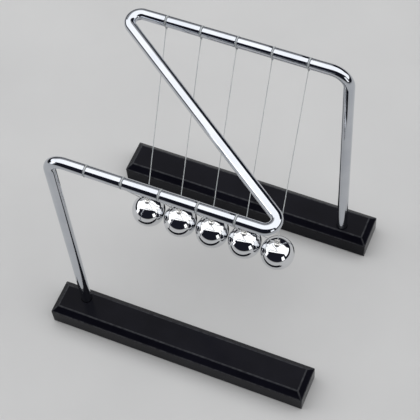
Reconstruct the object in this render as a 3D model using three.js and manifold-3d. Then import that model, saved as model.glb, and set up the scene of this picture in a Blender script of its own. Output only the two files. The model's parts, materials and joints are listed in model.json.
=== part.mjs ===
// A five-ball pendulum cradle with a Z-shaped frame.
// One bent steel rod makes both rails, the diagonal between them and the two posts. Each post
// stands in a black bar. Five steel balls hang in a row, each on one thread that runs from a ring
// groove in the front rail, through the ball's eyelet, to the matching groove in the rear rail.
// Millimetres, +Z up, +X along the row of balls, +Y towards the rear rail.
// The origin is on the table, under the middle of the frame.

import * as THREE from 'three';
import { mergeVertices } from 'three/addons/utils/BufferGeometryUtils.js';
import { ConvexGeometry } from 'three/addons/geometries/ConvexGeometry.js';
import Module from 'manifold-3d';

// ---- driving dimensions ----

const GAP = 0.3;                 // clearance between neighbouring pieces

const BALL_COUNT = 5;
const BALL_PITCH = 18;           // spacing of the grooves, and of the balls
const BALL_RADIUS = (BALL_PITCH - GAP) / 2;
const BALL_CENTRE_Z = 46;

const ROD_RADIUS = 2.8;
const RAIL_Z = 149.2;            // centreline height of both rails
const RAIL_Y = 45;               // half the distance between the rails' centrelines
const POST_X = 55.5;             // distance of each post from the middle
const POST_BEND_RADIUS = 9;      // centreline bend between a post and its rail
const NOSE_X = 47.5;             // where a rail ends and the tight bend to the diagonal starts
const NOSE_RADIUS = 5;           // centreline radius of that tight bend

const GROOVE_WIDTH = 1.1;
const GROOVE_DEPTH = 0.6;
const GROOVE_EDGE = 0.12;        // slope of a groove's lips

const BAR_LENGTH = 142;
const BAR_DEPTH = 19.5;
const BAR_Y = 48;                // a post stands a little inboard of its bar's middle line
const BAR_TOP_Z = 14;
const BAR_BEVEL = 3.2;           // the bevel all round the bar's top
const BAR_UNDERSIDE_Z = 0.4;
const PAD_THICKNESS = 1;         // a pad sits in a shallow recess in the bar's underside
const PAD_RADIUS = 4.5;
const PAD_X = 65;

const SOCKET_FLOOR_Z = 6;        // the post stands on this shelf inside the bar
const COUNTERBORE_DEPTH = 3.2;
const COUNTERBORE_RADIUS = 3.5;
const SCREW_SHANK_RADIUS = 1.3;
const SCREW_HEAD_RADIUS = 2.7;
const SCREW_HEAD_HEIGHT = 1.8;
const SCREW_HEAD_ROUNDING = 0.5;
const SCREW_TIP_CHAMFER = 0.5;
const SCREW_REACH = 9;           // shank length above the head
const SCREW_RECESS_SPAN = 3.5;   // from tip to tip of the cross
const SCREW_RECESS_WIDTH = 0.7;
const SCREW_RECESS_DEPTH = 1.1;
const WASHER_RADIUS = 3.2;
const WASHER_THICKNESS = 0.6;
const THREADED_HOLE_RADIUS = SCREW_SHANK_RADIUS + GAP;
const THREADED_HOLE_DEPTH = 8;
const POST_FOOT_CHAMFER = 0.4;

const EYELET_STEM_RADIUS = 0.8;
const EYELET_STEM_LENGTH = 3.6;
const EYELET_COLLAR_RADIUS = 1.6;
const EYELET_COLLAR_HEIGHT = 1;
const EYELET_COLLAR_ROUNDING = 0.4;
const EYE_RADIUS = 1.2;          // centreline of the eyelet's ring
const EYE_WIRE_RADIUS = 0.42;
const EYE_SINK = 0.17;           // how far the ring sinks into the collar

const THREAD_RADIUS = 0.225;
const THREAD_TURN_RADIUS = 2;    // bend of the thread where it passes through the eyelet
const LOOP_WIRE_RADIUS = 0.25;   // the thread tied round the rail in a groove
const KNOT_RADIUS = 0.6;

// ---- how finely the round shapes are divided ----

const ROD_SIDES = 16;
const POST_BEND_STEPS = 8;
const NOSE_STEPS = 12;
const HOLE_SIDES = 24;
const FOOT_SIDES = 20;           // pads and washers
const SCREW_SIDES = 16;
const BALL_SIDES = 24;
const BALL_ARC_STEPS = 16;
const STEM_SIDES = 14;
const RING_SIDES = 18;           // the eyelet's ring and the tied loops, round their own axis
const RING_WIRE_SIDES = 7;       // the same, round their wire
const THREAD_SIDES = 8;
const THREAD_TURN_STEPS = 6;
const KNOT_SIDES = 10;
const KNOT_RINGS = 7;

// ---- sizes that follow from them ----

const GROOVE_RADIUS = ROD_RADIUS - GROOVE_DEPTH;
const LOOP_RADIUS = GROOVE_RADIUS + GAP + LOOP_WIRE_RADIUS;
const KNOT_REACH = LOOP_RADIUS + KNOT_RADIUS; // knot centre from the rail's centreline
const POST_FOOT_Z = SOCKET_FLOOR_Z + GAP;
const COLLAR_Z = BALL_RADIUS + GAP;           // from the ball's centre
const EYE_Z = COLLAR_Z + EYELET_COLLAR_HEIGHT + EYE_RADIUS + EYE_WIRE_RADIUS - EYE_SINK;
// the thread runs just under the top of the ring that hangs on it
const THREAD_LOW_Z = BALL_CENTRE_Z + EYE_Z + EYE_RADIUS - EYE_WIRE_RADIUS - GAP - THREAD_RADIUS;
const BALL_X = Array.from({ length: BALL_COUNT }, (_, i) => (i - (BALL_COUNT - 1) / 2) * BALL_PITCH);

// ---- materials ----

const chrome = new THREE.MeshStandardMaterial({ color: 0xdfe3e8, metalness: 1, roughness: 0.06 });
const polishedSteel = new THREE.MeshStandardMaterial({ color: 0xe4e6ea, metalness: 1, roughness: 0.04 });
const nickel = new THREE.MeshStandardMaterial({ color: 0xcfd0cc, metalness: 1, roughness: 0.18 });
const zincSteel = new THREE.MeshStandardMaterial({ color: 0xb4b8ba, metalness: 1, roughness: 0.35 });
const blackBar = new THREE.MeshStandardMaterial({ color: 0x0b0b0d, metalness: 0, roughness: 0.22 });
const padRubber = new THREE.MeshStandardMaterial({ color: 0x1c1c1c, metalness: 0, roughness: 0.95 });
const nylon = new THREE.MeshStandardMaterial({ color: 0xe8ecec, metalness: 0, roughness: 0.3 });

// ---- joining and cutting ----

const wasm = await Module();
wasm.setup();

const WELD_DISTANCE = 1e-5;

function toSolid(geometry) {
  const bare = geometry.clone();
  bare.deleteAttribute('normal');
  bare.deleteAttribute('uv');
  const merged = mergeVertices(bare, WELD_DISTANCE);
  return new wasm.Manifold(new wasm.Mesh({
    numProp: 3,
    vertProperties: new Float32Array(merged.attributes.position.array),
    triVerts: new Uint32Array(merged.index.array),
  }));
}

function toGeometry(solid) {
  const mesh = solid.getMesh();
  const geometry = new THREE.BufferGeometry();
  geometry.setAttribute('position', new THREE.BufferAttribute(new Float32Array(mesh.vertProperties), 3));
  geometry.setIndex(new THREE.BufferAttribute(new Uint32Array(mesh.triVerts), 1));
  geometry.computeVertexNormals();
  return geometry;
}

// ---- shared shapes ----

// A round profile of [radius, height] pairs from one end of the axis to the other, turned about Z.
function turned(profile, segments) {
  const points = profile.map(([radius, height]) => new THREE.Vector2(radius, height));
  return new THREE.LatheGeometry(points, segments).rotateX(Math.PI / 2);
}

function uprightCylinder(radius, lowZ, highZ, segments) {
  return new THREE.CylinderGeometry(radius, radius, highZ - lowZ, segments)
    .rotateX(Math.PI / 2)
    .translate(0, 0, (lowZ + highZ) / 2);
}

// A closed tube through stations of { point, tangent, radius }. The ring directions are carried
// along the path without twist. A radius of 0 closes the tube on its centreline.
function sweep(stations, sides) {
  const positions = [];
  const rings = [];
  const normal = new THREE.Vector3(0, 1, 0);
  const turn = new THREE.Quaternion();
  let previous = stations[0].tangent;
  for (const { point, tangent, radius } of stations) {
    normal.applyQuaternion(turn.setFromUnitVectors(previous, tangent)).normalize();
    previous = tangent;
    const binormal = new THREE.Vector3().crossVectors(tangent, normal);
    const ring = [];
    const count = radius > 0 ? sides : 1;
    for (let k = 0; k < count; k++) {
      const angle = (2 * Math.PI * k) / sides;
      const corner = point.clone()
        .addScaledVector(normal, radius * Math.cos(angle))
        .addScaledVector(binormal, radius * Math.sin(angle));
      ring.push(positions.length / 3);
      positions.push(corner.x, corner.y, corner.z);
    }
    rings.push(ring);
  }
  const index = [];
  for (let i = 0; i + 1 < rings.length; i++) {
    const [a, b] = [rings[i], rings[i + 1]];
    for (let k = 0; k < sides; k++) {
      const next = (k + 1) % sides;
      if (a.length > 1) {
        index.push(a[k], a[next], b[b.length > 1 ? next : 0]);
      }
      if (b.length > 1) {
        index.push(a[a.length > 1 ? k : 0], b[next], b[k]);
      }
    }
  }
  const geometry = new THREE.BufferGeometry();
  geometry.setAttribute('position', new THREE.Float32BufferAttribute(positions, 3));
  geometry.setIndex(index);
  geometry.computeVertexNormals();
  return geometry;
}

// ---- the bent rod ----

// The acute angle between the diagonal and the rails: the diagonal runs through the middle of the
// frame and touches both tight bends.
function diagonalAngle() {
  const reach = RAIL_Y - NOSE_RADIUS;
  const lean = Math.atan2(NOSE_X, reach);
  return Math.acos(NOSE_RADIUS / Math.hypot(NOSE_X, reach)) - lean;
}

// Half of the rod, from the front post's foot to the middle of the diagonal.
function frontHalfStations() {
  const stations = [];
  const add = (x, y, z, tx, ty, tz, radius = ROD_RADIUS) => stations.push({
    point: new THREE.Vector3(x, y, z),
    tangent: new THREE.Vector3(tx, ty, tz).normalize(),
    radius,
  });

  // the post's foot, with the threaded hole for the screw
  const foot = (z, radius) => add(-POST_X, -RAIL_Y, z, 0, 0, 1, radius);
  foot(POST_FOOT_Z + THREADED_HOLE_DEPTH, 0);
  foot(POST_FOOT_Z + THREADED_HOLE_DEPTH, THREADED_HOLE_RADIUS);
  foot(POST_FOOT_Z, THREADED_HOLE_RADIUS);
  foot(POST_FOOT_Z, ROD_RADIUS - POST_FOOT_CHAMFER);
  foot(POST_FOOT_Z + POST_FOOT_CHAMFER, ROD_RADIUS);

  for (let i = 0; i <= POST_BEND_STEPS; i++) {
    const t = (i / POST_BEND_STEPS) * (Math.PI / 2);
    add(
      -POST_X + POST_BEND_RADIUS * (1 - Math.cos(t)), -RAIL_Y,
      RAIL_Z - POST_BEND_RADIUS * (1 - Math.sin(t)),
      Math.sin(t), 0, Math.cos(t),
    );
  }

  const half = GROOVE_WIDTH / 2;
  for (const x of BALL_X) {
    const rail = (dx, radius) => add(x + dx, -RAIL_Y, RAIL_Z, 1, 0, 0, radius);
    rail(-half - GROOVE_EDGE, ROD_RADIUS);
    rail(-half, GROOVE_RADIUS);
    rail(half, GROOVE_RADIUS);
    rail(half + GROOVE_EDGE, ROD_RADIUS);
  }

  const sweepAngle = Math.PI - diagonalAngle();
  for (let i = 0; i <= NOSE_STEPS; i++) {
    const t = (i / NOSE_STEPS) * sweepAngle;
    add(
      NOSE_X + NOSE_RADIUS * Math.sin(t), -RAIL_Y + NOSE_RADIUS * (1 - Math.cos(t)), RAIL_Z,
      Math.cos(t), Math.sin(t), 0,
    );
  }
  return stations;
}

// The rear half is the front half turned by half a turn about Z, run backwards.
function rodGeometry() {
  const front = frontHalfStations();
  const rear = front.map(({ point, tangent, radius }) => ({
    point: new THREE.Vector3(-point.x, -point.y, point.z),
    tangent: new THREE.Vector3(tangent.x, tangent.y, -tangent.z),
    radius,
  })).reverse();
  return sweep([...front, ...rear], ROD_SIDES);
}

// ---- the bars ----

// A bar along X about its own middle, with a bevel round its top, before any hole is made.
function barBlank() {
  const corners = [];
  const layer = (inset, z) => {
    for (const sx of [-1, 1]) {
      for (const sy of [-1, 1]) {
        corners.push(new THREE.Vector3(sx * (BAR_LENGTH / 2 - inset), sy * (BAR_DEPTH / 2 - inset), z));
      }
    }
  };
  layer(0, BAR_UNDERSIDE_Z);
  layer(0, BAR_TOP_Z - BAR_BEVEL);
  layer(BAR_BEVEL, BAR_TOP_Z);
  return new ConvexGeometry(corners);
}

// The front bar: its post stands near its left end, and is held by a screw from below. Near each
// end of the underside is a shallow recess for a pad.
function frontBarGeometry() {
  const overshoot = 1;
  const cut = (radius, lowZ, highZ, x = -POST_X, y = BAR_Y - RAIL_Y) => toSolid(
    uprightCylinder(radius, lowZ, highZ, HOLE_SIDES).translate(x, y, 0),
  );
  const padRecess = (x) => cut(PAD_RADIUS + GAP, 0, PAD_THICKNESS + GAP, x, 0);
  const solid = toSolid(barBlank())
    .subtract(cut(ROD_RADIUS + GAP, SOCKET_FLOOR_Z, BAR_TOP_Z + overshoot))
    .subtract(cut(THREADED_HOLE_RADIUS, BAR_UNDERSIDE_Z, SOCKET_FLOOR_Z + overshoot))
    .subtract(cut(COUNTERBORE_RADIUS, 0, BAR_UNDERSIDE_Z + COUNTERBORE_DEPTH))
    .subtract(padRecess(-PAD_X))
    .subtract(padRecess(PAD_X));
  return toGeometry(solid);
}

function padGeometry() {
  return uprightCylinder(PAD_RADIUS, 0, PAD_THICKNESS, FOOT_SIDES);
}

// ---- the fasteners, standing at their own axis ----

const WASHER_TOP_Z = BAR_UNDERSIDE_Z + COUNTERBORE_DEPTH - GAP;
const SCREW_HEAD_TOP_Z = WASHER_TOP_Z - WASHER_THICKNESS - GAP;

function washerGeometry() {
  const hole = SCREW_SHANK_RADIUS + GAP;
  const low = WASHER_TOP_Z - WASHER_THICKNESS;
  const ring = [
    [hole, low], [WASHER_RADIUS, low], [WASHER_RADIUS, WASHER_TOP_Z], [hole, WASHER_TOP_Z], [hole, low],
  ];
  return turned(ring, FOOT_SIDES);
}

// A pan-head screw, point up, with a cross recess in its head.
function screwGeometry() {
  const headLow = SCREW_HEAD_TOP_Z - SCREW_HEAD_HEIGHT;
  const tip = SCREW_HEAD_TOP_Z + SCREW_REACH;
  const blank = toSolid(turned([
    [0, headLow],
    [SCREW_HEAD_RADIUS - SCREW_HEAD_ROUNDING, headLow],
    [SCREW_HEAD_RADIUS, headLow + SCREW_HEAD_ROUNDING],
    [SCREW_HEAD_RADIUS, SCREW_HEAD_TOP_Z],
    [SCREW_SHANK_RADIUS, SCREW_HEAD_TOP_Z],
    [SCREW_SHANK_RADIUS, tip - SCREW_TIP_CHAMFER],
    [SCREW_SHANK_RADIUS - SCREW_TIP_CHAMFER, tip],
    [0, tip],
  ], SCREW_SIDES));
  const slot = (sizeX, sizeY) => toSolid(
    new THREE.BoxGeometry(sizeX, sizeY, 2 * SCREW_RECESS_DEPTH).translate(0, 0, headLow),
  );
  return toGeometry(
    blank
      .subtract(slot(SCREW_RECESS_SPAN, SCREW_RECESS_WIDTH))
      .subtract(slot(SCREW_RECESS_WIDTH, SCREW_RECESS_SPAN)),
  );
}

// ---- a pendulum, about its ball's centre ----

// A ball with a blind hole at its top for the eyelet's stem.
function ballGeometry() {
  const hole = EYELET_STEM_RADIUS + GAP;
  const holeFloor = BALL_RADIUS - EYELET_STEM_LENGTH - GAP;
  const rimAngle = Math.PI - Math.asin(hole / BALL_RADIUS);
  const profile = [[0, -BALL_RADIUS]];
  for (let i = 1; i <= BALL_ARC_STEPS; i++) {
    const t = (i / BALL_ARC_STEPS) * rimAngle;
    profile.push([BALL_RADIUS * Math.sin(t), -BALL_RADIUS * Math.cos(t)]);
  }
  profile.push([hole, holeFloor], [0, holeFloor]);
  return turned(profile, BALL_SIDES);
}

// A stem that goes into the ball, a collar, and an upright ring that the thread runs through.
function eyeletGeometry() {
  const collarTop = COLLAR_Z + EYELET_COLLAR_HEIGHT;
  const post = toSolid(turned([
    [0, COLLAR_Z - EYELET_STEM_LENGTH],
    [EYELET_STEM_RADIUS, COLLAR_Z - EYELET_STEM_LENGTH],
    [EYELET_STEM_RADIUS, COLLAR_Z],
    [EYELET_COLLAR_RADIUS, COLLAR_Z],
    [EYELET_COLLAR_RADIUS, collarTop - EYELET_COLLAR_ROUNDING],
    [EYELET_COLLAR_RADIUS - EYELET_COLLAR_ROUNDING, collarTop],
    [0, collarTop],
  ], STEM_SIDES));
  const eye = toSolid(
    new THREE.TorusGeometry(EYE_RADIUS, EYE_WIRE_RADIUS, RING_WIRE_SIDES, RING_SIDES)
      .rotateX(Math.PI / 2)
      .translate(0, 0, EYE_Z),
  );
  return toGeometry(post.add(eye));
}

// ---- threads and knots, in the plane of one pendulum ----

// A thread is straight from the rail's centreline to where it touches its turn in the eyelet, and
// its knot lies on that line.
const EYE_TURN_Z = THREAD_LOW_Z + THREAD_TURN_RADIUS;
const THREAD_LEAN = Math.atan2(RAIL_Y, RAIL_Z - EYE_TURN_Z)
  - Math.asin(THREAD_TURN_RADIUS / Math.hypot(RAIL_Y, RAIL_Z - EYE_TURN_Z));
const KNOT_Y = RAIL_Y - KNOT_REACH * Math.sin(THREAD_LEAN);
const KNOT_Z = RAIL_Z - KNOT_REACH * Math.cos(THREAD_LEAN);

// A thread from just under the front knot, through the eyelet, to just under the rear knot.
function threadGeometry() {
  const down = new THREE.Vector3(0, Math.sin(THREAD_LEAN), -Math.cos(THREAD_LEAN));
  const up = new THREE.Vector3(0, down.y, -down.z);
  const clear = KNOT_RADIUS + GAP;
  const start = new THREE.Vector3(0, -KNOT_Y, KNOT_Z).addScaledVector(down, clear);
  const end = new THREE.Vector3(0, KNOT_Y, KNOT_Z).addScaledVector(up, -clear);
  const stations = [
    { point: start, tangent: down, radius: 0 },
    { point: start, tangent: down, radius: THREAD_RADIUS },
  ];
  const turnAngle = Math.PI / 2 - THREAD_LEAN;
  for (let i = 0; i <= THREAD_TURN_STEPS; i++) {
    const t = -turnAngle + (i / THREAD_TURN_STEPS) * 2 * turnAngle;
    stations.push({
      point: new THREE.Vector3(
        0, THREAD_TURN_RADIUS * Math.sin(t), EYE_TURN_Z - THREAD_TURN_RADIUS * Math.cos(t),
      ),
      tangent: new THREE.Vector3(0, Math.cos(t), Math.sin(t)),
      radius: THREAD_RADIUS,
    });
  }
  stations.push({ point: end, tangent: up, radius: THREAD_RADIUS });
  stations.push({ point: end, tangent: up, radius: 0 });
  return sweep(stations, THREAD_SIDES);
}

// The thread's end tied round the front rail, with its knot on the side the thread leaves from.
function frontLoopGeometry() {
  const ring = toSolid(
    new THREE.TorusGeometry(LOOP_RADIUS, LOOP_WIRE_RADIUS, RING_WIRE_SIDES, RING_SIDES)
      .rotateY(Math.PI / 2)
      .translate(0, -RAIL_Y, RAIL_Z),
  );
  const knot = toSolid(
    new THREE.SphereGeometry(KNOT_RADIUS, KNOT_SIDES, KNOT_RINGS).translate(0, -KNOT_Y, KNOT_Z),
  );
  return toGeometry(ring.add(knot));
}

// ---- assembly ----

const cradle = new THREE.Group();

function place(parent, name, geometry, material, x = 0, y = 0, z = 0) {
  const mesh = new THREE.Mesh(geometry, material);
  mesh.name = name;
  mesh.position.set(x, y, z);
  parent.add(mesh);
}

place(cradle, 'z_frame_rod', rodGeometry(), chrome);

// The front and rear feet are alike, half a turn apart about Z.
for (const [side, halfTurns] of [['front', 0], ['rear', 1]]) {
  const foot = new THREE.Group();
  foot.rotation.z = halfTurns * Math.PI;
  cradle.add(foot);
  place(foot, `${side}_bar`, frontBarGeometry(), blackBar, 0, -BAR_Y, 0);
  place(foot, `${side}_screw`, screwGeometry(), zincSteel, -POST_X, -RAIL_Y, 0);
  place(foot, `${side}_washer`, washerGeometry(), zincSteel, -POST_X, -RAIL_Y, 0);
  place(foot, `${side}_pad_post_end`, padGeometry(), padRubber, -PAD_X, -BAR_Y, 0);
  place(foot, `${side}_pad_free_end`, padGeometry(), padRubber, PAD_X, -BAR_Y, 0);
}

BALL_X.forEach((x, i) => {
  const number = i + 1;
  place(cradle, `ball_${number}`, ballGeometry(), polishedSteel, x, 0, BALL_CENTRE_Z);
  place(cradle, `eyelet_${number}`, eyeletGeometry(), nickel, x, 0, BALL_CENTRE_Z);
  place(cradle, `thread_${number}`, threadGeometry(), nylon, x);
  place(cradle, `front_loop_${number}`, frontLoopGeometry(), nylon, x);
  const rear = new THREE.Group();
  rear.rotation.z = Math.PI;
  rear.position.x = x;
  cradle.add(rear);
  place(rear, `rear_loop_${number}`, frontLoopGeometry(), nylon);
});

export default cradle;
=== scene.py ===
"""The looks of a five-ball pendulum cradle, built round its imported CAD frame.

Lengths are in millimetres, and MM turns them into the metres of the meshes. Materials, lights and
the camera are in metres. The axes are the CAD's: +X along the row of balls, +Y towards the rear
rail, +Z up.
"""

import json
import math
import random

import bmesh
import bpy
from mathutils import Matrix, Vector


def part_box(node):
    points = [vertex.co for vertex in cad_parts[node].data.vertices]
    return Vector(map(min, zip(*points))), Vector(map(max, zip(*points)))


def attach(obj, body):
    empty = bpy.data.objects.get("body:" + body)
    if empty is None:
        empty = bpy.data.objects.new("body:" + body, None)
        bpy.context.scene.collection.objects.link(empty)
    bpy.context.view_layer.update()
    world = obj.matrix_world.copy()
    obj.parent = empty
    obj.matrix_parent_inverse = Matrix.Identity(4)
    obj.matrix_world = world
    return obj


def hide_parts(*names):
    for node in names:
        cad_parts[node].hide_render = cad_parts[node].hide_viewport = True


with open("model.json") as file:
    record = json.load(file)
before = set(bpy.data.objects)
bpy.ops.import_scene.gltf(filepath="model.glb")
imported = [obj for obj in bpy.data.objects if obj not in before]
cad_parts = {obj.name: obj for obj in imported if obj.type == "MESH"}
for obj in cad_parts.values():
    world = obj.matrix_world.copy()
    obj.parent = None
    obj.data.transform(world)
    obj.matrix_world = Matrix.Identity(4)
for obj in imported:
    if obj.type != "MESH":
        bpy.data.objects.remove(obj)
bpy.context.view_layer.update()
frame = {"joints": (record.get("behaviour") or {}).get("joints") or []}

MM = 0.001
MERGE_DISTANCE = 1e-7   # in metres
SHARP_DEGREES = 40      # edges that turn more than this stay sharp
BAR_SHARP_DEGREES = 30

# ---- driving dimensions, in millimetres ----

BALL_NUMBERS = range(1, 6)

ROD_RADIUS = 2.8
RAIL_Z = 149.2
RAIL_Y = 45.0
POST_X = 55.5
POST_BEND_RADIUS = 9.0
NOSE_X = 47.5
NOSE_RADIUS = 5.0
POST_FOOT_Z = 6.3
GROOVE_HALF_WIDTH = 0.55
GROOVE_DEPTH = 0.6
GROOVE_LIP = 0.16       # the rounding of a groove's outer edge
GROOVE_FILLET = 0.12    # the rounding of its inner corner

THREAD_RADIUS = 0.225
THREAD_TURN_RADIUS = 2.0    # the bend where a thread runs through its eyelet
WRAP_RADIUS = 2.72      # centreline of the thread wound round the rail in a groove
WRAP_PITCH = 0.5
WRAP_TURNS = 2
KNOT_SIZE = 0.42

BAR_BEVEL = 3.2
BAR_EDGE = 0.35         # the small rounding of every edge of a bar
BAR_EDGE_FADE = 0.25    # how far the edges' painted highlight and roughness reach into the flat faces
SOCKET_RADIUS = 2.86    # the post fits tightly
SOCKET_FLOOR_Z = 6.0
COUNTERBORE_RADIUS = 3.5
COUNTERBORE_TOP_Z = 3.6
PAD_RECESS_RADIUS = 4.8
PAD_RECESS_TOP_Z = 1.3
SCREW_HOLE_RADIUS = 1.7
CUTTER_OVERREACH = 1.0  # how far a cutter goes past the face that it cuts

# ---- sides per turn of the round pieces ----

ROD_SIDES = 48
BALL_SIDES = 72
EYELET_SIDES = 40
EYELET_RING_SIDES = 20
THREAD_SIDES = 12
TIED_END_SIDES = 8
SOCKET_SIDES = 64
PAD_SIDES = 48
WASHER_SIDES = 48
SCREW_SIDES = 40
BACKDROP_SIDES = 96


# ---- places from the frame ----

def box_mm(node):
    low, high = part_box(node)
    return Vector(low) / MM, Vector(high) / MM


def middle_mm(node):
    low, high = box_mm(node)
    return (low + high) / 2


ball_low, ball_high = box_mm("ball_3")
BALL_RADIUS = (ball_high.y - ball_low.y) / 2
BALL_CENTRE_Z = ball_low.z + BALL_RADIUS
BALL_X = {n: middle_mm(f"ball_{n}").x for n in BALL_NUMBERS}
HINGES = {joint["child"]: Vector(joint["pos_m"]) / MM for joint in frame["joints"]}


# ---- meshes ----

def add_object(name, data):
    obj = bpy.data.objects.new(name, data)
    bpy.context.scene.collection.objects.link(obj)
    return obj


def make_object(name, verts, faces):
    """A smooth-shaded object from points in millimetres."""
    mesh = bpy.data.meshes.new(name)
    mesh.from_pydata([Vector(v) * MM for v in verts], [], faces)
    mesh.validate()
    obj = add_object(name, mesh)
    tidy(obj)
    return obj


def tidy(obj, sharp_degrees=SHARP_DEGREES):
    """Merges points that coincide, turns faces outwards, and shades smooth but for sharp edges."""
    bm = bmesh.new()
    bm.from_mesh(obj.data)
    bmesh.ops.remove_doubles(bm, verts=bm.verts, dist=MERGE_DISTANCE)
    bmesh.ops.recalc_face_normals(bm, faces=bm.faces)
    bm.to_mesh(obj.data)
    bm.free()
    obj.data.shade_smooth()
    obj.data.set_sharp_from_angle(angle=math.radians(sharp_degrees))


def lathe(profile, segments, centre=(0, 0, 0)):
    """Verts and faces of (radius, height) pairs turned about an upright axis through centre."""
    verts, rings = [], []
    centre = Vector(centre)
    for radius, height in profile:
        count = segments if radius > 0 else 1
        rings.append(range(len(verts), len(verts) + count))
        for k in range(count):
            angle = 2 * math.pi * k / segments
            x, y = radius * math.cos(angle), radius * math.sin(angle)
            verts.append(centre + Vector((x, y, height)))
    return verts, skin(rings, segments)


def skin(rings, segments):
    """Faces between neighbouring rings of vertex numbers, where a ring of one vertex is a pole."""
    faces = []
    for a, b in zip(rings, rings[1:]):
        for k in range(segments):
            n = (k + 1) % segments
            if len(a) == 1 and len(b) == 1:
                continue
            if len(a) == 1:
                faces.append((a[0], b[n], b[k]))
            elif len(b) == 1:
                faces.append((a[k], a[n], b[0]))
            else:
                faces.append((a[k], a[n], b[n], b[k]))
    return faces


def sweep(stations, sides):
    """Verts and faces of a tube through (point, tangent, radius) stations, without twist."""
    verts, rings = [], []
    previous = stations[0][1].normalized()
    normal = previous.orthogonal().normalized()
    for point, tangent, radius in stations:
        tangent = tangent.normalized()
        normal = (previous.rotation_difference(tangent) @ normal).normalized()
        binormal = tangent.cross(normal)
        previous = tangent
        count = sides if radius > 0 else 1
        rings.append(range(len(verts), len(verts) + count))
        for k in range(count):
            angle = 2 * math.pi * k / sides
            offset = normal * math.cos(angle) + binormal * math.sin(angle)
            verts.append(point + radius * offset)
    return verts, skin(rings, sides)


def rounded_tube(points, radius, sides):
    """A tube through points, with a rounded nose at both ends."""
    tangents = [
        points[min(i + 1, len(points) - 1)] - points[max(i - 1, 0)] for i in range(len(points))
    ]
    stations = [(p, t, radius) for p, t in zip(points, tangents)]
    for end, step in ((0, -1), (-1, 1)):
        point, tangent, _ = stations[end]
        for angle in (30, 60, 90):
            reach = radius * math.sin(math.radians(angle)) * step
            ring = radius * math.cos(math.radians(angle)) if angle < 90 else 0
            cap = (point + tangent.normalized() * reach, tangent, ring)
            if step < 0:
                stations.insert(0, cap)
            else:
                stations.append(cap)
    return sweep(stations, sides)


def smooth_path(points, steps):
    """A Catmull-Rom curve through points, with steps pieces between neighbours."""
    path = []
    ends = [2 * points[0] - points[1], *points, 2 * points[-1] - points[-2]]
    for p0, p1, p2, p3 in zip(ends, ends[1:], ends[2:], ends[3:]):
        for i in range(steps):
            t = i / steps
            path.append(0.5 * (
                2 * p1 + (p2 - p0) * t + (2 * p0 - 5 * p1 + 4 * p2 - p3) * t * t
                + (3 * p1 - p0 - 3 * p2 + p3) * t ** 3
            ))
    path.append(points[-1])
    return path


def boolean(obj, cutter, operation, sharp_degrees=SHARP_DEGREES):
    """Joins cutter to obj or cuts it away, as operation says, and deletes cutter."""
    modifier = obj.modifiers.new("boolean", "BOOLEAN")
    modifier.operation = operation
    modifier.solver = "EXACT"
    modifier.object = cutter
    depsgraph = bpy.context.evaluated_depsgraph_get()
    depsgraph.update()
    result = bpy.data.meshes.new_from_object(obj.evaluated_get(depsgraph))
    obj.modifiers.clear()
    obj.data = result
    bpy.data.objects.remove(cutter)
    tidy(obj, sharp_degrees)


def copy_piece(source, name, matrix):
    """A copy of source with its own mesh, moved by matrix, which is in metres."""
    obj = add_object(name, source.data.copy())
    obj.data.transform(matrix)
    return obj


def finish_piece(obj, material, body, node):
    """Gives obj its material, the body it rides on and the CAD node it stands for."""
    obj.data.materials.clear()
    obj.data.materials.append(material)
    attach(obj, body)
    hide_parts(node)


# ---- material helpers ----

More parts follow.
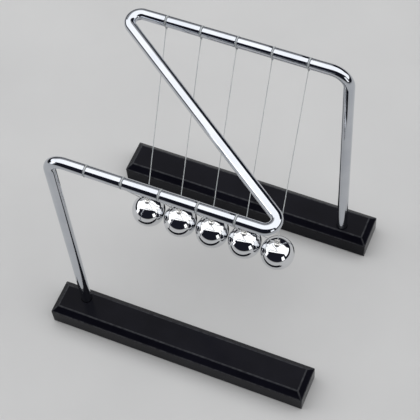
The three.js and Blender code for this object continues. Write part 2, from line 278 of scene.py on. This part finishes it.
class Shader:
    """A node material with a Principled shader, and short ways to wire textures into it.

    Texture scales are per metre, and bump distances are in metres.
    """

    def __init__(self, name, **settings):
        self.material = bpy.data.materials.new(name)
        self.material.use_nodes = True
        self.nodes = self.material.node_tree.nodes
        self.links = self.material.node_tree.links
        self.bsdf = self.nodes["Principled BSDF"]
        self.place = self.nodes.new("ShaderNodeTexCoord").outputs["Object"]
        for socket, value in settings.items():
            self.bsdf.inputs[socket.replace("_", " ")].default_value = value

    def stretched(self, scale):
        mapping = self.nodes.new("ShaderNodeMapping")
        mapping.inputs["Scale"].default_value = scale
        self.links.new(self.place, mapping.inputs["Vector"])
        return mapping.outputs["Vector"]

    def noise(self, scale, detail, vector=None):
        noise = self.nodes.new("ShaderNodeTexNoise")
        noise.inputs["Scale"].default_value = scale
        noise.inputs["Detail"].default_value = detail
        self.links.new(vector or self.place, noise.inputs["Vector"])
        return noise.outputs["Fac"]

    def cells(self, scale):
        cells = self.nodes.new("ShaderNodeTexVoronoi")
        cells.inputs["Scale"].default_value = scale
        self.links.new(self.place, cells.inputs["Vector"])
        return cells.outputs["Distance"]

    def remap(self, value, low, high, to_low=0, to_high=1):
        remap = self.nodes.new("ShaderNodeMapRange")
        remap.inputs["From Min"].default_value = low
        remap.inputs["From Max"].default_value = high
        remap.inputs["To Min"].default_value = to_low
        remap.inputs["To Max"].default_value = to_high
        self.links.new(value, remap.inputs["Value"])
        return remap.outputs["Result"]

    def maths(self, operation, a, b):
        maths = self.nodes.new("ShaderNodeMath")
        maths.operation = operation
        for socket, value in zip(maths.inputs, (a, b)):
            if isinstance(value, (int, float)):
                socket.default_value = value
            else:
                self.links.new(value, socket)
        return maths.outputs["Value"]

    def mix_colour(self, factor, a, b):
        """From a to b as factor goes from 0 to 1. a is a colour or another node's output."""
        mix = self.nodes.new("ShaderNodeMix")
        mix.data_type = "RGBA"
        if isinstance(a, tuple):
            mix.inputs["A"].default_value = (*a, 1)
        else:
            self.links.new(a, mix.inputs["A"])
        mix.inputs["B"].default_value = (*b, 1)
        self.links.new(factor, mix.inputs["Factor"])
        return mix.outputs["Result"]

    def attribute(self, name):
        attribute = self.nodes.new("ShaderNodeAttribute")
        attribute.attribute_name = name
        return attribute.outputs["Fac"]

    def into(self, value, socket):
        self.links.new(value, self.bsdf.inputs[socket])

    def bump(self, height, strength, distance):
        bump = self.nodes.new("ShaderNodeBump")
        bump.inputs["Strength"].default_value = strength
        bump.inputs["Distance"].default_value = distance
        self.links.new(height, bump.inputs["Height"])
        self.links.new(bump.outputs["Normal"], self.bsdf.inputs["Normal"])


# ---- materials ----

def chrome_plate(name, light, dark, smooth, dull, bump_strength):
    """Mirror chrome. Hairline marks and a little haze vary its gloss, and its tint drifts."""
    shader = Shader(name, Metallic=1.0)
    tint = shader.remap(shader.noise(60, 3), 0.35, 0.65)
    shader.into(shader.mix_colour(tint, dark, light), "Base Color")
    haze = shader.remap(shader.noise(180, 4), 0.35, 0.75)
    hairlines = shader.noise(1, 2, vector=shader.stretched((900, 5200, 5200)))
    hairlines = shader.remap(hairlines, 0.58, 0.72)
    marks = shader.maths("MAXIMUM", haze, hairlines)
    shader.into(shader.remap(marks, 0, 1, smooth, dull), "Roughness")
    shader.bump(shader.noise(420, 3), bump_strength, 2e-5)
    return shader.material


def black_bar_plastic():
    """Black moulding: a faint pebbled skin, sparse fine dust, and a painted highlight along the
    edges, which are also a little rougher.
    """
    deep_black, soft_black = (0.0036, 0.0036, 0.0062), (0.0062, 0.0062, 0.0102)
    # The second grey is the colour of a painted highlight along the rounded edges.
    dust_grey, painted_edge_highlight_grey = (0.3, 0.3, 0.32), (0.06, 0.062, 0.068)
    dust_cover, edge_highlight_cover, edge_dulling = 0.12, 0.7, 0.2
    shader = Shader("black_bar_moulding", Specular_IOR_Level=0.06)
    # Noise that breaks up the edges' painted highlight and their roughness.
    edge_breakup = shader.remap(shader.noise(420, 4), 0.35, 0.65, 0.45, 1)
    edge = shader.maths("MULTIPLY", shader.attribute("edge"), edge_breakup)
    specks = shader.remap(shader.cells(1500), 0.0, 0.1, 1, 0)
    patches = shader.remap(shader.noise(90, 3), 0.52, 0.66)
    dust = shader.maths("MULTIPLY", specks, patches)
    drift = shader.remap(shader.noise(45, 4), 0.35, 0.65)
    colour = shader.mix_colour(drift, deep_black, soft_black)
    colour = shader.mix_colour(shader.maths("MULTIPLY", dust, dust_cover), colour, dust_grey)
    # The rounded edges are mixed towards a lighter grey: a painted highlight along them.
    colour = shader.mix_colour(shader.maths("MULTIPLY", edge, edge_highlight_cover), colour, painted_edge_highlight_grey)
    shader.into(colour, "Base Color")
    scuffs = shader.noise(1, 3, vector=shader.stretched((80, 1400, 1400)))
    roughness = shader.remap(scuffs, 0.3, 0.7, 0.11, 0.19)
    dulling = shader.maths("MULTIPLY", edge, edge_dulling)
    shader.into(shader.maths("ADD", roughness, dulling), "Roughness")
    shader.bump(shader.noise(2600, 2), 0.06, 2e-5)
    return shader.material


def nickel_plate():
    dark, light = (0.7, 0.69, 0.67), (0.84, 0.84, 0.83)
    shader = Shader("bright_nickel", Metallic=1.0)
    drift = shader.remap(shader.noise(800, 2), 0.35, 0.65)
    shader.into(shader.mix_colour(drift, dark, light), "Base Color")
    shader.into(shader.remap(shader.noise(2600, 3), 0.3, 0.7, 0.07, 0.2), "Roughness")
    shader.bump(shader.noise(3000, 2), 0.1, 1e-5)
    return shader.material


def zinc_plate():
    dark, light = (0.5, 0.53, 0.56), (0.66, 0.68, 0.68)
    shader = Shader("zinc_plate", Metallic=1.0)
    spangle = shader.remap(shader.cells(900), 0.0, 0.7)
    shader.into(shader.mix_colour(spangle, dark, light), "Base Color")
    shader.into(shader.remap(shader.noise(1800, 4), 0.3, 0.7, 0.25, 0.45), "Roughness")
    shader.bump(shader.noise(4000, 2), 0.2, 1e-5)
    return shader.material


def foam_rubber():
    dark, light = (0.018, 0.018, 0.019), (0.045, 0.044, 0.043)
    shader = Shader("foam_rubber_pad", IOR=1.45)
    cells = shader.cells(3800)
    shader.into(shader.mix_colour(cells, dark, light), "Base Color")
    shader.into(shader.remap(shader.noise(900, 3), 0.3, 0.7, 0.82, 0.97), "Roughness")
    shader.bump(cells, 0.6, 8e-5)
    return shader.material


def clear_nylon():
    """Drawn monofilament: half clear and glossy, with milky stretches and a faintly uneven skin."""
    clear, milky = (0.72, 0.76, 0.78), (0.86, 0.88, 0.88)
    shader = Shader("clear_nylon", IOR=1.53, Transmission_Weight=0.55)
    milk = shader.remap(shader.noise(260, 3), 0.35, 0.7)
    shader.into(shader.mix_colour(milk, clear, milky), "Base Color")
    shader.into(shader.remap(shader.noise(1500, 2), 0.3, 0.7, 0.06, 0.22), "Roughness")
    shader.bump(shader.noise(5200, 2), 0.15, 1e-5)
    return shader.material


def pale_paper():
    """A pale matt sheet with the faintest mottle."""
    dark, light = (0.565, 0.566, 0.565), (0.597, 0.598, 0.596)
    shader = Shader("pale_paper", Roughness=0.7, Specular_IOR_Level=0.2)
    mottle = shader.remap(shader.noise(14, 5), 0.3, 0.7)
    shader.into(shader.mix_colour(mottle, dark, light), "Base Color")
    shader.bump(shader.noise(900, 3), 0.1, 5e-5)
    return shader.material


def painted_shade_sheet():
    """A dark sheet of painted shade for the chrome to reflect, which begins softly well in front of
    the cradle and to its sides.
    """
    dark, light = (0.01, 0.01, 0.012), (0.014, 0.014, 0.016)
    front_slope, front_begins, front_full = 0.4, -0.28, -0.7
    sides_begin, sides_full = 0.55, 1.1
    shader = Shader("painted_shade_sheet", Roughness=0.9, Specular_IOR_Level=0.0)
    shader.into(shader.mix_colour(shader.noise(400, 2), dark, light), "Base Color")
    split = shader.nodes.new("ShaderNodeSeparateXYZ")
    shader.links.new(shader.place, split.inputs["Vector"])
    x, y = split.outputs["X"], split.outputs["Y"]
    skewed = shader.maths("SUBTRACT", y, shader.maths("MULTIPLY", x, front_slope))
    front = shader.remap(skewed, front_begins, front_full)
    sides = shader.remap(shader.maths("ABSOLUTE", x, 0), sides_begin, sides_full)
    # The alpha makes the sheet opaque well to the front and sides: painted shade in the reflections
    # there.
    shader.into(shader.maths("MAXIMUM", front, sides), "Alpha")
    return shader.material


# ---- the bent rod ----

def diagonal_angle():
    """The acute angle between the rails and the diagonal that joins the two tight bends."""
    reach = RAIL_Y - NOSE_RADIUS
    return math.acos(NOSE_RADIUS / math.hypot(NOSE_X, reach)) - math.atan2(NOSE_X, reach)


def groove_profile():
    """(offset along the rail, rod radius) across one groove, with soft lips and a flat floor."""
    floor = ROD_RADIUS - GROOVE_DEPTH
    half = [(GROOVE_HALF_WIDTH + GROOVE_LIP, ROD_RADIUS)]
    for angle in (30, 60, 90):
        t = math.radians(angle)
        half.append((
            GROOVE_HALF_WIDTH + GROOVE_LIP * (1 - math.sin(t)),
            ROD_RADIUS - GROOVE_LIP * (1 - math.cos(t)),
        ))
    for angle in (0, 45, 90):
        t = math.radians(angle)
        half.append((
            GROOVE_HALF_WIDTH - GROOVE_FILLET * (1 - math.cos(t)),
            floor + GROOVE_FILLET * (1 - math.sin(t)),
        ))
    return [(-x, r) for x, r in half] + [(x, r) for x, r in reversed(half)]


def front_half_stations():
    """The rod from the front post's foot to the start of the diagonal."""
    stations = []

    def add(x, y, z, direction, radius=ROD_RADIUS):
        stations.append((Vector((x, y, z)), Vector(direction), radius))

    chamfer = 0.4
    post_steps, bend_steps, nose_steps = 6, 28, 40
    up = (0, 0, 1)
    add(-POST_X, -RAIL_Y, POST_FOOT_Z, up, 0)
    add(-POST_X, -RAIL_Y, POST_FOOT_Z, up, ROD_RADIUS - chamfer)
    add(-POST_X, -RAIL_Y, POST_FOOT_Z + chamfer, up)
    post_top = RAIL_Z - POST_BEND_RADIUS
    for i in range(1, post_steps):
        add(-POST_X, -RAIL_Y, POST_FOOT_Z + (post_top - POST_FOOT_Z) * i / post_steps, up)
    for i in range(bend_steps + 1):
        t = i / bend_steps * math.pi / 2
        x = -POST_X + POST_BEND_RADIUS * (1 - math.cos(t))
        z = RAIL_Z - POST_BEND_RADIUS * (1 - math.sin(t))
        add(x, -RAIL_Y, z, (math.sin(t), 0, math.cos(t)))
    for n in BALL_NUMBERS:
        for offset, radius in groove_profile():
            add(BALL_X[n] + offset, -RAIL_Y, RAIL_Z, (1, 0, 0), radius)
    for i in range(nose_steps + 1):
        t = i / nose_steps * (math.pi - diagonal_angle())
        x = NOSE_X + NOSE_RADIUS * math.sin(t)
        y = -RAIL_Y + NOSE_RADIUS * (1 - math.cos(t))
        add(x, y, RAIL_Z, (math.cos(t), math.sin(t), 0))
    return stations


def build_rod(material):
    """The whole rod. Its rear half is the front half after half a turn about the upright axis."""
    front = front_half_stations()
    rear = [
        (Vector((-p.x, -p.y, p.z)), Vector((t.x, t.y, -t.z)), r) for p, t, r in reversed(front)
    ]
    rod = make_object("bent_rod", *sweep(front + rear, ROD_SIDES))
    finish_piece(rod, material, "root", "z_frame_rod")


# ---- the bars, their pads and their screws ----

def bar_blank(name, node):
    """A bar's outside, with a bevel round the top and every edge rounded.

    Its "edge" attribute is 1 on the rounded edges, and fades to 0 within BAR_EDGE_FADE of them.
    """
    low, high = box_mm(node)
    shoulder = high.z - BAR_BEVEL
    corners = []
    for inset, z in ((0, low.z), (0, shoulder), (BAR_BEVEL, high.z)):
        for sx, sy in ((-1, -1), (1, -1), (1, 1), (-1, 1)):
            corners.append(Vector((
                (low.x + high.x) / 2 + sx * ((high.x - low.x) / 2 - inset),
                (low.y + high.y) / 2 + sy * ((high.y - low.y) / 2 - inset),
                z,
            )) * MM)
    bm = bmesh.new()
    edge_mask = bm.verts.layers.float.new("edge")
    verts = [bm.verts.new(c) for c in corners]
    bm.faces.new(verts[3::-1])
    bm.faces.new(verts[8:])
    for base in (0, 4):
        above = base + 4
        for k in range(4):
            n = (k + 1) % 4
            bm.faces.new((verts[base + k], verts[base + n], verts[above + n], verts[above + k]))
    rounded = set(bmesh.ops.bevel(
        bm, geom=bm.edges[:], offset=BAR_EDGE * MM, segments=4, profile=0.5, affect="EDGES",
    )["faces"])
    for vert in bm.verts:
        vert[edge_mask] = 1
    flat = [face for face in bm.faces if face not in rounded]
    bmesh.ops.inset_individual(
        bm, faces=flat, thickness=BAR_EDGE_FADE * MM, use_even_offset=True,
    )
    for face in flat:
        for vert in face.verts:
            vert[edge_mask] = 0
    verts, loops = in_fixed_order(bm)
    mesh = bpy.data.meshes.new(name)
    mesh.from_pydata([vert.co for vert in verts], [], loops)
    marks = [vert[edge_mask] for vert in verts]
    mesh.attributes.new("edge", "FLOAT", "POINT").data.foreach_set("value", marks)
    bm.free()
    bar = add_object(name, mesh)
    tidy(bar, BAR_SHARP_DEGREES)
    return bar


def in_fixed_order(bm):
    """Verts and faces of bm in an order that only their places decide, since a bevel's varies."""
    verts = sorted(bm.verts, key=lambda vert: [round(part, 7) for part in vert.co])
    rank = {vert: i for i, vert in enumerate(verts)}
    loops = []
    for face in bm.faces:
        ring = [rank[vert] for vert in face.verts]
        first = ring.index(min(ring))
        loops.append(ring[first:] + ring[:first])
    return verts, sorted(loops)


def socket_cutter(x, y):
    """The hole for the post, with a small chamfer at its mouth, and the screw's hole under it."""
    top = box_mm("front_bar")[1].z
    chamfer = 0.15
    profile = [
        (0, -CUTTER_OVERREACH),
        (COUNTERBORE_RADIUS, -CUTTER_OVERREACH),
        (COUNTERBORE_RADIUS, COUNTERBORE_TOP_Z),
        (SCREW_HOLE_RADIUS, COUNTERBORE_TOP_Z),
        (SCREW_HOLE_RADIUS, SOCKET_FLOOR_Z),
        (SOCKET_RADIUS, SOCKET_FLOOR_Z),
        (SOCKET_RADIUS, top - chamfer),
        (SOCKET_RADIUS + chamfer + CUTTER_OVERREACH, top + CUTTER_OVERREACH),
        (0, top + CUTTER_OVERREACH),
    ]
    return make_object("socket_cutter", *lathe(profile, SOCKET_SIDES, (x, y, 0)))


def pad_recess_cutter(x, y):
    profile = [
        (0, -CUTTER_OVERREACH),
        (PAD_RECESS_RADIUS, -CUTTER_OVERREACH),
        (PAD_RECESS_RADIUS, PAD_RECESS_TOP_Z),
        (0, PAD_RECESS_TOP_Z),
    ]
    return make_object("recess_cutter", *lathe(profile, PAD_SIDES, (x, y, 0)))


def build_bar(side, material):
    node = f"{side}_bar"
    sign = -1 if side == "front" else 1
    bar = bar_blank(f"{side}_bar_moulding", node)
    socket = socket_cutter(sign * POST_X, sign * RAIL_Y)
    boolean(bar, socket, "DIFFERENCE", BAR_SHARP_DEGREES)
    for end in ("post", "free"):
        pad = middle_mm(f"{side}_pad_{end}_end")
        boolean(bar, pad_recess_cutter(pad.x, pad.y), "DIFFERENCE", BAR_SHARP_DEGREES)
    finish_piece(bar, material, "root", node)


def build_pad(node, material):
    """A stick-on foam pad, pressed a little barrel-shaped between the bar and the table."""
    low, high = box_mm(node)
    centre = (low + high) / 2
    radius = (high.x - low.x) / 2
    top = high.z
    waist, crown = 0.12, 0.2
    profile = [
        (0, 0), (radius - crown, 0), (radius - waist, crown / 2), (radius, top / 2),
        (radius - waist, top - crown / 2), (radius - crown, top), (0, top),
    ]
    pad = make_object(f"{node}_foam", *lathe(profile, PAD_SIDES, (centre.x, centre.y, 0)))
    finish_piece(pad, material, "root", node)


def build_screw(side, material):
    """A pan-head screw from below, with a tapered cross recess and ridges for its thread."""
    node = f"{side}_screw"
    low, high = box_mm(node)
    centre = (low + high) / 2
    head_radius = (high.x - low.x) / 2
    head_height, round_over = 1.8, 0.7
    shank, thread_depth, thread_pitch = 1.3, 0.14, 0.5
    plain_shank, tip_taper = 0.3, 0.5
    profile = [(0, low.z)]
    for angle in range(0, 91, 15):
        t = math.radians(angle)
        profile.append((
            head_radius - round_over * (1 - math.sin(t)), low.z + round_over * (1 - math.cos(t)),
        ))
    under_head = low.z + head_height
    profile += [(head_radius, under_head), (shank, under_head)]
    z = under_head + plain_shank
    while z < high.z - 2 * thread_pitch:
        profile += [(shank - thread_depth, z), (shank, z + thread_pitch / 2)]
        z += thread_pitch
    profile += [(shank - tip_taper, high.z), (0, high.z)]
    turned = lathe(profile, SCREW_SIDES, (centre.x, centre.y, 0))
    screw = make_object(f"{side}_pan_screw", *turned)
    for turn in (0, 90):
        boolean(screw, recess_blade(centre, low.z, turn), "DIFFERENCE")
    finish_piece(screw, material, "root", node)


def recess_blade(centre, head_z, turn_degrees):
    """One arm pair of a cross recess: a blade that narrows as it goes into the head."""
    reach, width, depth, over = 1.5, 0.36, 1.1, 0.2
    mouth_scale, bottom_scale = 1.1, 0.45
    turn = Matrix.Rotation(math.radians(turn_degrees + 45), 3, "Z")
    verts = []
    for z, scale in ((-over, mouth_scale), (depth, bottom_scale)):
        for sx, sy in ((-1, -1), (1, -1), (1, 1), (-1, 1)):
            verts.append(
                turn @ Vector((sx * reach * scale, sy * width, 0))
                + Vector((centre.x, centre.y, head_z + z))
            )
    faces = [(3, 2, 1, 0), (4, 5, 6, 7)]
    faces += [(k, (k + 1) % 4, (k + 1) % 4 + 4, k + 4) for k in range(4)]
    return make_object("recess_blade", verts, faces)


def build_washer(side, material):
    node = f"{side}_washer"
    low, high = box_mm(node)
    centre = (low + high) / 2
    outer, inner, edge = (high.x - low.x) / 2, 1.6, 0.08
    profile = [
        (inner, low.z + edge),
        (inner + edge, low.z),
        (outer - edge, low.z),
        (outer, low.z + edge),
        (outer, high.z - edge),
        (outer - edge, high.z),
        (inner + edge, high.z),
        (inner, high.z - edge),
        (inner, low.z + edge),
    ]
    turned = lathe(profile, WASHER_SIDES, (centre.x, centre.y, 0))
    washer = make_object(f"{side}_flat_washer", *turned)
    finish_piece(washer, material, "root", node)


# ---- the pendulums ----

def ball_object():
    """A ball about its own centre, with the small countersunk hole for the eyelet's stem."""
    hole, sink, hole_depth = 1.1, 1.35, 3.9
    steps = 44
    rim = math.pi - math.asin(sink / BALL_RADIUS)
    profile = [(0, -BALL_RADIUS)]
    for i in range(1, steps + 1):
        t = rim * i / steps
        profile.append((BALL_RADIUS * math.sin(t), -BALL_RADIUS * math.cos(t)))
    rim_z = profile[-1][1]
    floor = BALL_RADIUS - hole_depth
    profile += [(hole, rim_z - (sink - hole)), (hole, floor), (0, floor)]
    return make_object("ball_master", *lathe(profile, BALL_SIDES))


def eyelet_object():
    """Stem, domed collar and upright ring in one piece, about the ball's centre."""
    low, high = box_mm("eyelet_3")
    wire, ring, ring_steps = 0.42, 1.2, 48
    ring_z = high.z - BALL_CENTRE_Z - ring - wire
    stem, stem_low = 0.8, low.z - BALL_CENTRE_Z
    collar, dome = (high.x - low.x) / 2, 0.75
    seat_depth, weld_depth = 0.08, 0.17
    seat = BALL_RADIUS - seat_depth
    collar_top = ring_z - ring - wire + weld_depth
    neck, neck_height = 0.62, 0.12
    profile = [(0, stem_low), (stem, stem_low), (stem, seat), (collar, seat)]
    for angle in range(0, 91, 15):
        t = math.radians(angle)
        profile.append((
            collar - dome * (1 - math.cos(t)), collar_top - dome * (1 - math.sin(t)),
        ))
    profile += [(neck, collar_top + neck_height), (0, collar_top + neck_height)]
    eyelet = make_object("eyelet_master", *lathe(profile, EYELET_SIDES))
    loop = []
    for i in range(ring_steps):
        t = 2 * math.pi * i / ring_steps
        loop.append(Vector((ring * math.sin(t), 0, ring_z - ring * math.cos(t))))
    boolean(eyelet, torus_object("eyelet_ring", loop, wire, EYELET_RING_SIDES), "UNION")
    return eyelet


def torus_object(name, loop, wire, sides):
    """A closed tube round a flat loop of points whose middle is the loop's centre."""
    centre = sum(loop, Vector()) / len(loop)
    axis = (loop[0] - centre).cross(loop[1] - centre).normalized()
    verts, faces = [], []
    for point in loop:
        outward = (point - centre).normalized()
        for k in range(sides):
            angle = 2 * math.pi * k / sides
            verts.append(point + wire * (outward * math.cos(angle) + axis * math.sin(angle)))
    for i in range(len(loop)):
        a, b = i * sides, (i + 1) % len(loop) * sides
        for k in range(sides):
            n = (k + 1) % sides
            faces.append((a + k, a + n, b + n, b + k))
    return make_object(name, verts, faces)


def thread_turn_z(number):
    """The height of the centre of a thread's bend in its eyelet."""
    return box_mm(f"thread_{number}")[0].z + THREAD_RADIUS + THREAD_TURN_RADIUS


def thread_lean(number):
    """A thread's angle from the vertical on its straight runs."""
    drop = RAIL_Z - thread_turn_z(number)
    return math.atan2(RAIL_Y, drop) - math.asin(THREAD_TURN_RADIUS / math.hypot(RAIL_Y, drop))


def build_thread(number, material):
    """One thread from knot to knot, bent where it runs through the eyelet."""
    node, body = f"thread_{number}", f"pendulum_{number}"
    straight_steps, turn_steps = 12, 14
    pivot = HINGES[body]
    turn_z = thread_turn_z(number)
    lean = thread_lean(number)
    knot_y = RAIL_Y - (RAIL_Z - pivot.z) * math.tan(lean)
    arc = math.pi / 2 - lean

    def turn_point(t):
        y, drop = THREAD_TURN_RADIUS * math.sin(t), THREAD_TURN_RADIUS * math.cos(t)
        return Vector((pivot.x, y, turn_z - drop))

    def straight_run(start, end):
        return [start.lerp(end, i / straight_steps) for i in range(straight_steps)]

    front_knot = Vector((pivot.x, -knot_y, pivot.z))
    rear_knot = Vector((pivot.x, knot_y, pivot.z))
    points = straight_run(front_knot, turn_point(-arc))
    points += [turn_point(-arc + 2 * arc * i / turn_steps) for i in range(turn_steps)]
    points += straight_run(turn_point(arc), rear_knot) + [rear_knot]
    tube = rounded_tube(points, THREAD_RADIUS, THREAD_SIDES)
    thread = make_object(f"thread_line_{number}", *tube)
    finish_piece(thread, material, body, node)


def knot_points(centre, across, along, size):
    """A small overhand knot, as a trefoil in the plane of across and along that is left open."""
    steps, gap = 18, 0.3
    normal = across.cross(along)
    points = []
    for i in range(steps + 1):
        t = gap + i / steps * (2 * math.pi - 2 * gap)
        points.append(
            centre
            + size * across * (math.sin(t) + 2 * math.sin(2 * t)) / 3
            + size * along * (math.cos(t) - 2 * math.cos(2 * t)) / 3
            - size * normal * math.sin(3 * t) / 2
        )
    return points


def build_loop(side, number, material, rng):
    """A thread's end: wound twice round the rail in its groove, and knotted, with a short tail."""
    node = f"{side}_loop_{number}"
    sign = -1 if side == "front" else 1
    pivot = HINGES[f"pendulum_{number}"]
    rail = Vector((pivot.x, sign * RAIL_Y, RAIL_Z))
    lean = thread_lean(number)
    down = Vector((0, -sign * math.sin(lean), -math.cos(lean)))
    side_on = Vector((1, 0, 0))
    cross = side_on.cross(down)
    knot = rail + down * ((RAIL_Z - pivot.z) / math.cos(lean))
    turn_steps = 26
    wrap_steps = WRAP_TURNS * turn_steps
    wraps = []
    for i in range(wrap_steps + 1):
        t = 2 * math.pi * i / turn_steps
        shift = WRAP_PITCH * (i / wrap_steps - 0.5)
        wraps.append(
            rail + side_on * shift + WRAP_RADIUS * (down * math.cos(t) + cross * math.sin(t))
        )
    wobble = rng.uniform(-0.3, 0.3)
    splay = rng.uniform(-0.6, 0.6)
    tail_way = (down * 0.5 + side_on * (0.7 + wobble) + cross * splay).normalized()
    knotted = knot_points(knot, side_on, cross, KNOT_SIZE)
    tail = [knotted[-1] + tail_way * reach for reach in (0.35, 0.8, 1.1)]
    # Every second point of the wraps, short of both ends, so that they run smoothly into the knot.
    path = smooth_path(wraps[2:-2:2] + knotted + tail, 3)
    tube = rounded_tube(path, THREAD_RADIUS, TIED_END_SIDES)
    loop = make_object(f"{side}_tied_end_{number}", *tube)
    finish_piece(loop, material, "root", node)


# ---- stage, light and camera ----

def flat_sheet(name, half, z, material):
    """A square sheet on the stage, which reaches half its width each way from the middle."""
    corners = [(-half, -half, z), (half, -half, z), (half, half, z), (-half, half, z)]
    sheet = make_object(name, corners, [(0, 1, 2, 3)])
    sheet.data.materials.append(material)
    return sheet


def build_stage():
    """A pale floor that curves up into a pale wall all round, with a dark sheet of painted shade on
    the floor.

    The dark sheet shows only in reflections, as painted shade. The wall shows in none, and doesn't
    light the cradle.
    """
    half, shade_sheet_z = 3000, 1
    paper = pale_paper()
    flat_sheet("floor", half, 0, paper)

    # A dark sheet seen only in reflections: painted shade on the floor that the chrome shows.
    shade_sheet = flat_sheet("painted_shade_sheet", half, shade_sheet_z, painted_shade_sheet())
    shade_sheet.visible_camera = False
    shade_sheet.visible_diffuse = False
    shade_sheet.visible_transmission = False
    shade_sheet.visible_shadow = False

    wall_radius, cove_radius, wall_height, cove_steps = 1600, 600, 1500, 12
    profile = []
    for i in range(cove_steps + 1):
        t = math.pi / 2 * i / cove_steps
        profile.append((
            wall_radius - cove_radius * (1 - math.sin(t)), cove_radius * (1 - math.cos(t)),
        ))
    profile.append((wall_radius, wall_height))
    wall = make_object("backdrop", *lathe(profile, BACKDROP_SIDES))
    wall.data.materials.append(paper)
    wall.visible_glossy = False
    wall.visible_diffuse = False
    wall.visible_shadow = False


def add_softbox(name, centre, across, up, size, radiance):
    """A rectangular light about centre, size[0] wide along across and size[1] high along up."""
    across, up = Vector(across), Vector(up)
    light = bpy.data.lights.new(name, "AREA")
    light.shape = "RECTANGLE"
    light.size, light.size_y = size
    light.energy = radiance * math.pi * size[0] * size[1]
    lamp = add_object(name, light)
    turn = Matrix((across, up, across.cross(up))).transposed().to_4x4()
    lamp.matrix_world = Matrix.Translation(centre) @ turn
    lamp.visible_camera = False


def build_light():
    """A light tent: a long softbox overhead, one hanging at each end of it, and a dim one behind.

    The front is dark but for two low strips, which put a streak down each post.
    """
    world = bpy.data.worlds.new("studio")
    bpy.context.scene.world = world
    world.use_nodes = True
    background = world.node_tree.nodes["Background"]
    background.inputs["Color"].default_value = (0.012, 0.013, 0.02, 1)
    background.inputs["Strength"].default_value = 1.0

    bright, dim = 1.58, 0.4
    height, half_length = 1.5, 2.2
    front_edge, rear_edge = -0.87, 1.25
    width, middle = rear_edge - front_edge, (rear_edge + front_edge) / 2
    end_low = 0.5
    rear_height = 1.0
    strip_size, strip_distance = (0.4, 0.6), 1.3
    skew = math.radians(10)
    along = Vector((math.cos(skew), math.sin(skew), 0))
    behind = Vector((-math.sin(skew), math.cos(skew), 0))
    up = Vector((0, 0, 1))
    overhead = behind * middle + up * height
    add_softbox("overhead", overhead, along, behind, (2 * half_length, width), bright)
    end_size = (width, height - end_low)
    end_middle = behind * middle + up * (height + end_low) / 2
    add_softbox("right_end", end_middle + along * half_length, behind, up, end_size, bright)
    add_softbox("left_end", end_middle - along * half_length, -behind, up, end_size, bright)
    rear = behind * rear_edge - along + up * (height - rear_height / 2)
    add_softbox("rear_fill", rear, -along, up, (half_length, rear_height), dim)
    for name, azimuth in (("left_strip", 212), ("right_strip", 328)):
        turn = math.radians(azimuth)
        out = Vector((math.cos(turn), math.sin(turn), 0))
        strip_middle = out * strip_distance + up * strip_size[1] / 2
        add_softbox(name, strip_middle, up.cross(out), up, strip_size, bright)


def build_camera():
    """A long lens that looks steeply down from the front and right, and is rolled a little."""
    azimuth, elevation, roll = math.radians(27.97), math.radians(58.70), math.radians(-6.17)
    lens, sensor_width, clip_start = 117.16, 36.0, 0.01
    place = (0.16752, -0.31556, 0.65466)
    out = Vector((
        math.sin(azimuth) * math.cos(elevation), -math.cos(azimuth) * math.cos(elevation),
        math.sin(elevation),
    ))
    right = (-out).cross(Vector((0, 0, 1))).normalized()
    up = right.cross(-out)
    rolled_right = right * math.cos(roll) + up * math.sin(roll)
    rolled_up = up * math.cos(roll) - right * math.sin(roll)
    camera = add_object("camera", bpy.data.cameras.new("camera"))
    camera.data.lens = lens
    camera.data.sensor_width = sensor_width
    camera.data.clip_start = clip_start
    turn = Matrix((rolled_right, rolled_up, out)).transposed().to_4x4()
    camera.matrix_world = Matrix.Translation(place) @ turn
    bpy.context.scene.camera = camera


# ---- assembly ----

def build_cradle():
    rod_chrome = chrome_plate(
        "rod_chrome", light=(0.61, 0.63, 0.67), dark=(0.55, 0.575, 0.62),
        smooth=0.03, dull=0.1, bump_strength=0.03,
    )
    ball_chrome = chrome_plate(
        "ball_chrome", light=(0.76, 0.77, 0.79), dark=(0.71, 0.725, 0.75),
        smooth=0.015, dull=0.06, bump_strength=0.015,
    )
    bar_black = black_bar_plastic()
    rubber = foam_rubber()
    zinc = zinc_plate()
    nickel = nickel_plate()
    nylon = clear_nylon()

    build_rod(rod_chrome)
    for side in ("front", "rear"):
        build_bar(side, bar_black)
        build_screw(side, zinc)
        build_washer(side, zinc)
        for end in ("post", "free"):
            build_pad(f"{side}_pad_{end}_end", rubber)

    ball_master, eyelet_master = ball_object(), eyelet_object()
    turn_between_balls = 71
    for n in BALL_NUMBERS:
        centre = Matrix.Translation(Vector((BALL_X[n], 0, BALL_CENTRE_Z)) * MM)
        turn = Matrix.Rotation(math.radians(turn_between_balls * n), 4, "Z")
        body = f"pendulum_{n}"
        ball = copy_piece(ball_master, f"steel_ball_{n}", centre @ turn)
        finish_piece(ball, ball_chrome, body, f"ball_{n}")
        eyelet = copy_piece(eyelet_master, f"ball_eyelet_{n}", centre)
        finish_piece(eyelet, nickel, body, f"eyelet_{n}")
        build_thread(n, nylon)
    bpy.data.objects.remove(ball_master)
    bpy.data.objects.remove(eyelet_master)

    rng = random.Random(5)
    for side in ("front", "rear"):
        for n in BALL_NUMBERS:
            build_loop(side, n, nylon, rng)


build_camera()
build_cradle()
build_stage()
build_light()
bpy.context.scene.view_settings.view_transform = "Standard"
